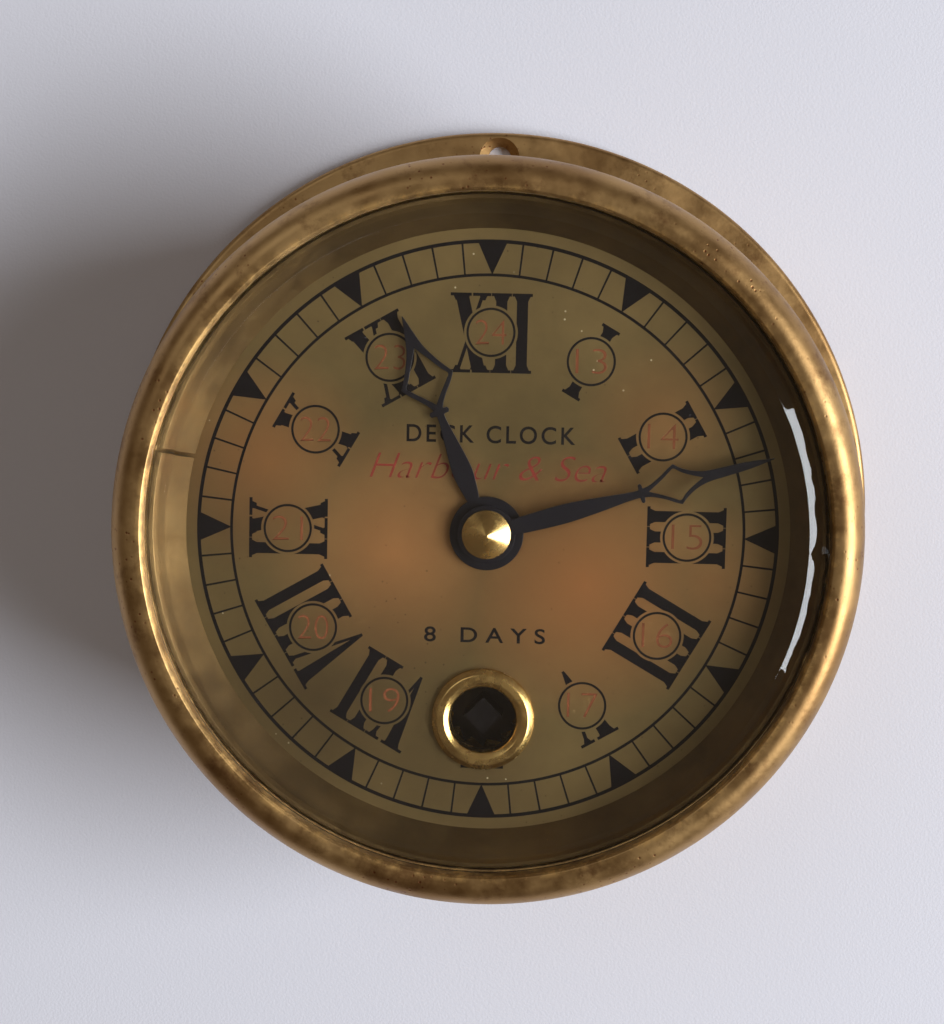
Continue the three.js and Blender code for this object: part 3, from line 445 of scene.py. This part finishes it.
# ---------------------------------------------------------------- case, cover and bezel
def make_case():
    outline = [
        (46.2, 0), (FLANGE_R - 0.1, 0, 0.7), (FLANGE_R - 0.1, 2.55, 0.9), (50.6, 2.6), (49.8, 2.9),
        (DRUM_R, 3.6), (DRUM_R, SHOULDER_Z, 0.4), (COLLAR_R, SHOULDER_Z), (COLLAR_R, CASE_COLLAR_TOP, 0.3),
        (46.5, CASE_COLLAR_TOP, 0.3), (46.5, DIAL_BACK), (COVER_OPENING_R, DIAL_BACK),
        (COVER_OPENING_R, 30.6), (46, 29), (46, 4.5), (COVER_OPENING_R, 4.5), (COVER_OPENING_R, 1.9),
        (46.2, 1.9),
    ]
    case = add("case", *turned(outline), AGED_BRASS, "case", "aged_brass", ["case_body"])
    for angle in FLANGE_HOLE_ANGLES:
        x, y = clock(FLANGE_R - 3.9, angle)
        bore = [(0, -1), (1.75, -1), (1.75, 1.25), (3.1, 2.62), (3.1, 4), (0, 4)]
        cut(case, *turned(bore, 48, x, y))
    finish_piece(case, AGED_BRASS)


def make_cover():
    outline = [(0, 0.7), (45.9, 0.7, 0.3), (45.9, 1.9), (0, 1.9)]
    cover = add("cover", *turned(outline), AGED_BRASS, "case", "aged_brass", ["rear_cover"])
    for number, angle in enumerate(COVER_SCREW_ANGLES, 1):
        x, y = clock(43.6, angle)
        cut(cover, *turned([(0, 0), (1.0, 0), (1.0, 3), (0, 3)], 32, x, y))
        screw(f"cover screw {number}", f"cover_screw_{number}", x, y)
    finish_piece(cover, AGED_BRASS)


def screw(name, node, x, y):
    """A cheese-head screw seen from behind, with its slot."""
    outline = [(0, 0.1), (1.5, 0.1, 0.2), (1.5, 0.7), (0.8, 0.7), (0.8, 4.4), (0, 4.4)]
    piece = add(name, *turned(outline, 32, x, y), STEEL, "case", "steel", [node])
    slot_half = 0.2
    outline = [(x - 2, y - slot_half), (x + 2, y - slot_half), (x + 2, y + slot_half), (x - 2, y + slot_half)]
    cut(piece, *prism(outline, 0, 0.4))
    finish_piece(piece, STEEL)


def make_bezel():
    crest_r = BEZEL_R - 3.6
    roll = []
    for k in range(BEZEL_ROLL_STEPS + 1):
        a = math.radians(90 * k / BEZEL_ROLL_STEPS)
        r = crest_r + (BEZEL_R - 0.02 - crest_r) * math.cos(a)
        roll.append((r, BEZEL_SHOULDER_Z + (BEZEL_TOP - 0.02 - BEZEL_SHOULDER_Z) * math.sin(a)))
    outline = [
        (BEZEL_BORE_R, BEZEL_BOTTOM), (BEZEL_R - 0.02, BEZEL_BOTTOM, 0.5), *roll,
        (LIP_R + 0.35, 42.45, 0.3), (LIP_R, 42.05, 0.2), (LIP_R, GLASS_RIM), (BEZEL_BORE_R, GLASS_RIM),
    ]
    add("bezel ring", *turned(outline), AGED_BRASS, "bezel_ring", "aged_brass", ["bezel"])


def bevel_point(share):
    """A point on the glass's bevel, from its inner edge at 0 to its outer edge at 1."""
    return (GLASS_FLAT_R + (BEVEL_R - GLASS_FLAT_R) * share, GLASS_TOP + (GLASS_RIM - GLASS_TOP) * share)


def chipped(vertex):
    """A vertex of the glass, sunk a little where the bevel is chipped near three o'clock."""
    x, y, z = vertex
    r = math.hypot(x, y)
    angle = math.degrees(math.atan2(x, y))
    on_bevel = GLASS_FLAT_R + 0.3 < r < BEVEL_R + 0.1 and z > GLASS_RIM - 0.01
    if not (on_bevel and abs(angle - CHIPS_AT) < CHIPS_REACH):
        return vertex
    fade = min(1.0, (CHIPS_REACH - abs(angle - CHIPS_AT)) / 6)
    wear = abs(noise.noise(Vector((angle * 0.55, r * 1.3, 0)))) * 0.42
    notch = max(0.0, 1 - abs(angle - NOTCH_AT) / 1.6) * 0.5
    depth = (wear + notch) * fade * (r - GLASS_FLAT_R) / (BEVEL_R - GLASS_FLAT_R)
    return (x, y, max(z - depth, GLASS_BACK + 0.5))


def make_glass():
    bevel = [bevel_point(share) for share in (1.0, 0.8, 0.6, 0.4, 0.2)]
    outline = [
        (0, GLASS_BACK), (GLASS_R, GLASS_BACK), (GLASS_R, GLASS_RIM), *bevel,
        (GLASS_FLAT_R, GLASS_TOP, 0.3), (0, GLASS_TOP),
    ]
    vertices, faces = turned(outline, 2 * FINE)
    vertices = [chipped(v) for v in vertices]
    glass = add("bevelled glass", vertices, faces, GLASS, "bezel_ring", "glass", ["glass"], 12)
    glass.visible_shadow = False


def make_rings():
    def ring(name, node, body, inner, outer, material, slot):
        low, high = mm_box(node)
        outline = [(inner, low[2]), (outer, low[2]), (outer, high[2]), (inner, high[2])]
        return add(name, *turned(outline), material, body, slot, [node])

    ring("glass seal", "glass_gasket", "bezel_ring", 47.4, 48.5, RUBBER, "gasket_rubber")
    ring("case seal", "bezel_gasket", "bezel_seal", 48.4, 49.5, RUBBER, "gasket_rubber")
    retainer = ring("glass ring", "glass_retaining_ring", "bezel_ring", 46.9, 48.55, BRASS, "brass")
    cut(retainer, *prism([(45, -0.8), (51, -0.8), (51, 0.8), (45, 0.8)], 35, 39))
    finish_piece(retainer, BRASS)


# ---------------------------------------------------------------- dial
def make_dial():
    outline = [(2.85, DIAL_BACK), (46.25, DIAL_BACK), (46.25, DIAL_Z), (2.85, DIAL_Z, 0.05)]
    dial = add("dial plate", *turned(outline), DIAL_BRASS, "case", "dial_brass", ["dial"])
    cut(dial, *turned([(0, 30), (5.4, 30), (5.4, 35), (0, 35)], 64, 0, WINDING_Y))
    finish_piece(dial, DIAL_BRASS)


def make_surround():
    outline = [(42.2, DIAL_Z), (45.6, 37.2, 0.2), (46.2, 37.2), (46.2, 36.4), (43.4, DIAL_Z)]
    ring = add("surround", *turned(outline), DULL_BRASS, "case", "aged_brass", ["dial_surround"])
    x, y = clock(1, SURROUND_JOINT_AT)
    side = Vector((-y, x)) * 0.3
    near, far = Vector((x, y)) * 40, Vector((x, y)) * 50
    cut(ring, *prism([near + side, near - side, far - side, far + side], 30, 40))
    finish_piece(ring, DULL_BRASS)


def printed(name, parts, material, layer=1):
    """Printed areas on the dial, given as outlines of (x, y) points."""
    top = DIAL_Z + PRINT_STEP * layer
    shapes = []
    for number, outline in enumerate(parts):
        lift = PRINT_LIFT * (number % 20)
        shapes.append(prism(outline, DIAL_Z - PRINT_STEP - lift, top + lift))
    return add(name, *merged(shapes), material, "case", "dial_brass")


def printed_ring(name, x, y, outer, width, layer=1, sides=FINE, material=None):
    top = DIAL_Z + PRINT_STEP * layer
    low = DIAL_Z - PRINT_STEP
    outline = [(outer - width, low), (outer, low), (outer, top), (outer - width, top)]
    return add(name, *turned(outline, sides, x, y), material or PRINT, "case", "dial_brass")


def print_chapter_ring():
    printed_ring("minute ring outer", 0, 0, RING_OUTER + 0.25, 0.5)
    printed_ring("minute ring inner", 0, 0, RING_INNER + 0.2, 0.4)
    ticks = []
    points = []
    for minute in range(60):
        angle = minute * 6
        if minute % 5:
            half = math.degrees(0.14 / RING_OUTER)
            ticks.append([
                clock(RING_INNER, angle - half), clock(RING_INNER, angle + half),
                clock(RING_OUTER, angle + half), clock(RING_OUTER, angle - half),
            ])
        else:
            half = math.degrees(2.05 / RING_OUTER)
            arc = [clock(RING_OUTER, angle - half + half * k / 3) for k in range(7)]
            points.append([clock(RING_INNER, angle), *arc])
    printed("minute ticks", ticks, PRINT, layer=0.7)
    printed("five minute points", points, PRINT, layer=1.9)


# Roman numerals are drawn upright with their feet at 0 and then set round the dial.
def stem(left):
    return [[(left, 0), (left + THICK, 0), (left + THICK, NUMERAL_HEIGHT), (left, NUMERAL_HEIGHT)]]


def serif(left, right, height):
    return [[(left, height), (right, height), (right, height + SERIF), (left, height + SERIF)]]


def bracket(left, right, reach, height, up):
    """The swelling where a stroke runs into its serif."""
    tip = height + reach * up
    outline = [(left - reach * 0.45, height), (right + reach * 0.45, height), (right, tip), (left, tip)]
    return [outline if up > 0 else outline[::-1]]


def letter_i(left):
    inner = left + SERIF_REACH
    shapes = stem(inner)
    shapes += bracket(inner, inner + THICK, 0.7, SERIF, 1)
    shapes += bracket(inner, inner + THICK, 0.7, TOP, -1)
    for height in (0, TOP):
        shapes += serif(left, left + 2 * SERIF_REACH + THICK, height)
    return shapes, 2 * SERIF_REACH + THICK


def slant(x_foot, x_head, width):
    return [[(x_foot, 0), (x_foot + width, 0), (x_head + width, NUMERAL_HEIGHT), (x_head, NUMERAL_HEIGHT)]]


def letter_v(left):
    width = 5.9
    foot = left + width * 0.5
    shapes = [[(foot - 0.1, 0), (foot + 0.3, 0), (left + 2.75, TOP), (left + 0.75, TOP)]]
    shapes += [[(foot - 0.1, 0), (foot + 0.25, 0), (left + width - 0.75, TOP), (left + width - 1.3, TOP)]]
    shapes += bracket(left + 0.85, left + 2.6, 0.6, TOP, -1)
    shapes += bracket(left + width - 1.4, left + width - 0.85, 0.6, TOP, -1)
    shapes += serif(left, left + 3.3, TOP) + serif(left + 3.75, left + width, TOP)
    return shapes, width


def letter_x(left):
    width = 5.6
    shapes = slant(left + width - 2.45, left + 0.6, 1.85)
    shapes += slant(left + 0.8, left + width - 1.35, THIN)
    shapes += bracket(left + 0.7, left + 2.4, 0.6, TOP, -1)
    shapes += bracket(left + width - 2.5, left + width - 0.6, 0.6, SERIF, 1)
    shapes += bracket(left + 0.8, left + 1.3, 0.6, SERIF, 1)
    shapes += bracket(left + width - 1.3, left + width - 0.8, 0.6, TOP, -1)
    for height in (0, TOP):
        shapes += serif(left, left + 2.9, height) + serif(left + 3.1, left + width, height)
    return shapes, width


LETTERS = {"I": letter_i, "V": letter_v, "X": letter_x}


def roman(word):
    """The outlines of a roman numeral centred on x = 0, and their feet on 0."""
    shapes = []
    left = 0.0
    for letter in word:
        made, width = LETTERS[letter](left)
        shapes += made
        left += width + NUMERAL_GAP
    centre = (left - NUMERAL_GAP) / 2
    return [[(x - centre, y) for x, y in outline] for outline in shapes]


def print_hours():
    for hour, word in enumerate(HOURS, 1):
        if word == "VI":
            continue
        turn = Matrix.Rotation(-math.radians(hour * 30), 2)
        outlines = [[turn @ Vector((x, y + NUMERAL_FOOT)) for x, y in o] for o in roman(word)]
        printed(f"hour {hour}", outlines, PRINT)
        x, y = clock(AFTERNOON_R, hour * 30)
        spin = [TURN * k / 64 for k in range(64)]
        disc = [(x + AFTERNOON_CLEAR * math.cos(a), y + AFTERNOON_CLEAR * math.sin(a)) for a in spin]
        printed(f"hour {hour} clear", [disc], DIAL_BRASS, layer=2.5)
        printed_ring(f"hour {hour} ring", x, y, AFTERNOON_RING, 0.32, layer=3.5, sides=MEDIUM)
        lettering(
            f"hour {hour + 12}", str(hour + 12), x, y - 1.72, AFTERNOON_HEIGHT, BROWN_PRINT,
            layer=3.5, width=4.3, thin=0.018,
        )


def lettering(name, words, x, y, height, material, layer=1, width=None, spacing=1.0, shear=0.0, thin=0.0):
    """Printed words centred on x with their feet at y. Height is that of a capital."""
    curve = bpy.data.curves.new(name, "FONT")
    curve.body = words
    curve.align_x = "CENTER"
    curve.space_character = spacing
    curve.shear = shear
    curve.offset = -thin
    curve.size = 1.0
    curve.resolution_u = 6
    source = bpy.data.objects.new(name, curve)
    bpy.context.scene.collection.objects.link(source)
    bpy.context.view_layer.update()
    mesh = bpy.data.meshes.new_from_object(source.evaluated_get(bpy.context.evaluated_depsgraph_get()))
    bpy.data.objects.remove(source)
    lows = [min(v.co[i] for v in mesh.vertices) for i in (0, 1)]
    highs = [max(v.co[i] for v in mesh.vertices) for i in (0, 1)]
    scale_y = height / (highs[1] - max(lows[1], 0) if lows[1] > -0.15 else highs[1])
    scale_x = width / (highs[0] - lows[0]) if width else scale_y
    middle = (lows[0] + highs[0]) / 2
    top = DIAL_Z + PRINT_STEP * layer
    flat = [(x + (v.co.x - middle) * scale_x, y + v.co.y * scale_y) for v in mesh.vertices]
    faces = [tuple(p.vertices) for p in mesh.polygons]
    solid = raised(flat, faces, DIAL_Z - PRINT_STEP, top)
    bpy.data.meshes.remove(mesh)
    return add(name + " print", *solid, material, "case", "dial_brass")


def raised(points, faces, bottom, top):
    """A flat mesh raised into a closed solid."""
    count = len(points)
    edges = {}
    for face in faces:
        for a, b in zip(face, face[1:] + face[:1]):
            edges[(a, b)] = edges.get((a, b), 0) + 1
    vertices = [(x, y, bottom) for x, y in points] + [(x, y, top) for x, y in points]
    solid = [tuple(reversed(face)) for face in faces] + [tuple(count + i for i in face) for face in faces]
    solid += [(a, b, count + b, count + a) for a, b in edges if (b, a) not in edges]
    return vertices, solid


def print_words():
    lettering("line 1", "DECK CLOCK", 0.3, 12.6, 2.4, PRINT, width=23.5, spacing=1.25, thin=-0.012)
    lettering("line 2", "Harbour & Sea", 0, 7.4, 3.5, RED_PRINT, width=33, shear=0.35, thin=0.018)
    lettering("line 3", "8 DAYS", 0, -15.5, 2.1, PRINT, width=17, spacing=1.6, thin=-0.012)
    for side in (-1, 1):
        left, right = side * 1.6 - 1.4, side * 1.6 + 1.4
        outline = [(left, -33.5), (right, -33.5), (right, -33.05), (left, -33.05)]
        printed(f"hour 6 serif {side}", [outline], PRINT)


def make_grommet():
    outline = [
        (4.55, 31, 0.2), (5.3, 31, 0.2), (5.3, DIAL_Z), (7.25, DIAL_Z, 0.15), (7.2, 33.6, 0.4),
        (6.4, 34.25, 0.5), (5.5, 34.28, 0.4), (4.75, 33.8, 0.5), (4.55, 33.0),
    ]
    add("winding eyelet", *turned(outline, 128, 0, WINDING_Y), BRASS, "case", "brass", ["winding_grommet"])


# ---------------------------------------------------------------- hands
def smooth(points, steps=6):
    """A Catmull-Rom curve through the points, its ends left as they are."""
    path = []
    for i in range(len(points) - 1):
        p0 = Vector(points[max(i - 1, 0)])
        p1, p2 = Vector(points[i]), Vector(points[i + 1])
        p3 = Vector(points[min(i + 2, len(points) - 1)])
        for k in range(steps):
            t = k / steps
            path.append(0.5 * (2 * p1 + (p2 - p0) * t + (2 * p0 - 5 * p1 + 4 * p2 - p3) * t * t
                               + (3 * p1 - p0 - 3 * p2 + p3) * t ** 3))
    return path + [Vector(points[-1])]


# Half outlines of the hands as (distance from the centre, half width) points.
MINUTE_FORM = {
    "boss": 4.0,
    "blade": [(3.85, 1.05), (6, 1.2), (11, 1.33), (15.5, 1.05), (20, 0.6), (21.8, 0.52)],
    "collar": [(21.9, 0.6), (21.95, 1.2), (22.2, 1.38), (22.45, 1.2), (22.5, 0.65)],
    "strand": [(22.6, 0.62), (23.6, 0.85), (25.2, 1.6), (26.4, 2.35), (27.35, 2.85)],
    "head": [(27.35, 2.85), (28.3, 2.05), (29.8, 1.25), (31.6, 0.78), (34, 0.66), (37.5, 0.5), (41.1, 0.06)],
    "opening": [(23.25, 0.0), (24.0, 0.42), (25.4, 1.18), (26.6, 1.95), (27.3, 2.25), (28.2, 1.5),
                (29.4, 0.78), (31.0, 0.0)],
}
HOUR_FORM = {
    "boss": 5.15,
    "blade": [(5.05, 0.85), (7, 1.2), (9.5, 1.4), (13.2, 1.0), (16.3, 0.58), (17.6, 0.52)],
    "collar": [(17.7, 0.62), (17.75, 1.25), (18.1, 1.45), (18.45, 1.25), (18.5, 0.7)],
    "strand": [(18.6, 0.72), (19.3, 1.1), (20.4, 1.95), (21.6, 3.05), (22.75, 3.85)],
    "head": [(22.75, 3.85), (24.0, 3.0), (25.4, 2.2), (27.3, 1.3), (29.4, 0.72), (32.3, 0.05)],
    "opening": [(19.2, 0.0), (19.9, 0.6), (20.9, 1.5), (22.0, 2.55), (22.75, 3.1), (23.8, 2.35),
                (25.3, 1.45), (27.6, 0.0)],
}


def hand_outline(form):
    """The whole outline of a hand that points along +y."""
    boss = form["boss"]
    reach, half = form["blade"][0]
    start = math.atan2(half, reach)
    spin = [math.pi - (math.pi - start) * k / 40 for k in range(41)]
    arc = [(boss * math.cos(a), boss * math.sin(a)) for a in spin]
    right = [Vector(p) for p in arc] + smooth(form["blade"])[1:] + [Vector(p) for p in form["collar"]]
    right += smooth(form["strand"])[1:-1] + smooth(form["head"])
    left = [Vector((p.x, -p.y)) for p in reversed(right[1:])]
    return [(p.y, p.x) for p in right + left]


def hand_opening(form):
    side = smooth(form["opening"])
    other = [Vector((p.x, -p.y)) for p in reversed(side[1:-1])]
    return [(p.y, p.x) for p in side + other]


def make_hand(name, form, node, body, angle, bore):
    low, high = mm_box(node)
    turn = Matrix.Rotation(-math.radians(angle), 2)
    outline = [turn @ Vector(p) for p in hand_outline(form)]
    opening = [turn @ Vector(p) for p in hand_opening(form)]
    hand = add(name, *prism(outline, low[2], high[2]), HAND_BLACK, body, "black_hands", [node])
    cut(hand, *prism(opening, low[2] - 1, high[2] + 1))
    cut(hand, *turned([(0, low[2] - 1), (bore, low[2] - 1), (bore, high[2] + 1), (0, high[2] + 1)], 48))
    edge = hand.modifiers.new("edge", "BEVEL")
    edge.width = 0.09 * MM
    edge.segments = 2
    edge.limit_method = "ANGLE"
    edge.angle_limit = math.radians(60)
    finish_piece(hand, HAND_BLACK)


def make_nut():
    low, high = mm_box("hand_nut")
    bottom = low[2]
    outline = [
        (0.9, bottom), (3.4, bottom, 0.05), (3.4, bottom + 0.35, 0.08), (0.25, high[2] - 0.08, 0.2),
        (0, high[2] - 0.02), (0, bottom + 1.4), (0.9, bottom + 1.3),
    ]
    add("hand nut cone", *turned(outline, MEDIUM), BRASS, "centre", "brass", ["hand_nut"])


# ---------------------------------------------------------------- the movement keeps its CAD pieces
def paint_movement():
    by_slot = {"brass": BRASS, "steel": STEEL, "aged_brass": AGED_BRASS, "dial_brass": DIAL_BRASS}
    for entry in frame["record"]["subparts"]:
        node = frame["nodes"][entry["node"]]
        if node.hide_render or entry["material_slot"] not in by_slot:
            continue
        material = by_slot[entry["material_slot"]]
        if entry["node"] in ("barrel_arbor", "ratchet_wheel"):
            material = DARK_STEEL
        node.data.materials.clear()
        node.data.materials.append(material)


# ---------------------------------------------------------------- camera, light and floor
def make_camera():
    turn = (Matrix.Rotation(math.radians(ROLL), 3, "Z")
            @ Matrix.Rotation(math.radians(PAN), 3, "Y")
            @ Matrix.Rotation(math.radians(TILT), 3, "X"))
    seen_dial = Vector((0, 0, DIAL_Z + 1)) * MM
    offset = Vector((OFFSET_X, OFFSET_Y, -CAMERA_DISTANCE)) * MM
    back = turn.transposed()
    data = bpy.data.cameras.new("camera")
    data.lens = CAMERA_LENS
    data.clip_start = 0.01
    camera = bpy.data.objects.new("camera", data)
    camera.matrix_world = Matrix.Translation(back @ -offset + seen_dial) @ back.to_4x4()
    bpy.context.scene.collection.objects.link(camera)
    bpy.context.scene.camera = camera


def area_light(name, place, target, size, power, color):
    data = bpy.data.lights.new(name, "AREA")
    data.shape = "RECTANGLE"
    data.size, data.size_y = size
    data.energy = power
    data.color = color
    light = bpy.data.objects.new(name, data)
    light.location = place
    light.rotation_mode = "QUATERNION"
    light.rotation_quaternion = (Vector(target) - Vector(place)).to_track_quat("-Z", "Y")
    bpy.context.scene.collection.objects.link(light)


def make_light():
    area_light("window", (1.7, -0.2, 1.16), (0, 0, 0), (1.5, 1.1), 60.0, (0.92, 0.96, 1.0))
    area_light("fill", (-1.0, 0.9, 1.9), (0, 0, 0), (1.2, 1.2), 4.0, (0.9, 0.94, 1.0))
    world = bpy.data.worlds.new("room")
    bpy.context.scene.world = world
    world.use_nodes = True
    background = world.node_tree.nodes["Background"]
    background.inputs["Color"].default_value = (0.62, 0.48, 0.34, 1)
    background.inputs["Strength"].default_value = 0.18
    bpy.context.scene.view_settings.view_transform = "Standard"


def make_floor():
    s = Shader("cloth")
    s.set(Base_Color=rgb(232, 232, 242), Roughness=0.9)
    weave = s.noise(2500, 2)
    s.bump(weave, 0.15, 0.0003)
    mesh = bpy.data.meshes.new("floor")
    corners = [(-1, -1), (1, -1), (1, 1), (-1, 1)]
    mesh.from_pydata([(FLOOR_HALF * x, FLOOR_HALF * y, -FLOOR_GAP) for x, y in corners], [], [(0, 1, 2, 3)])
    mesh.materials.append(s.material)
    floor = bpy.data.objects.new("floor", mesh)
    bpy.context.scene.collection.objects.link(floor)


make_case()
make_cover()
make_bezel()
make_glass()
make_rings()
make_dial()
make_surround()
print_chapter_ring()
print_hours()
print_words()
make_grommet()
make_hand("hour hand", HOUR_FORM, "hour_hand", "hour_motion", HOUR_ANGLE, 2.25)
make_hand("minute hand", MINUTE_FORM, "minute_hand", "centre", MINUTE_ANGLE, 1.35)
make_nut()
paint_movement()
make_camera()
make_light()
make_floor()
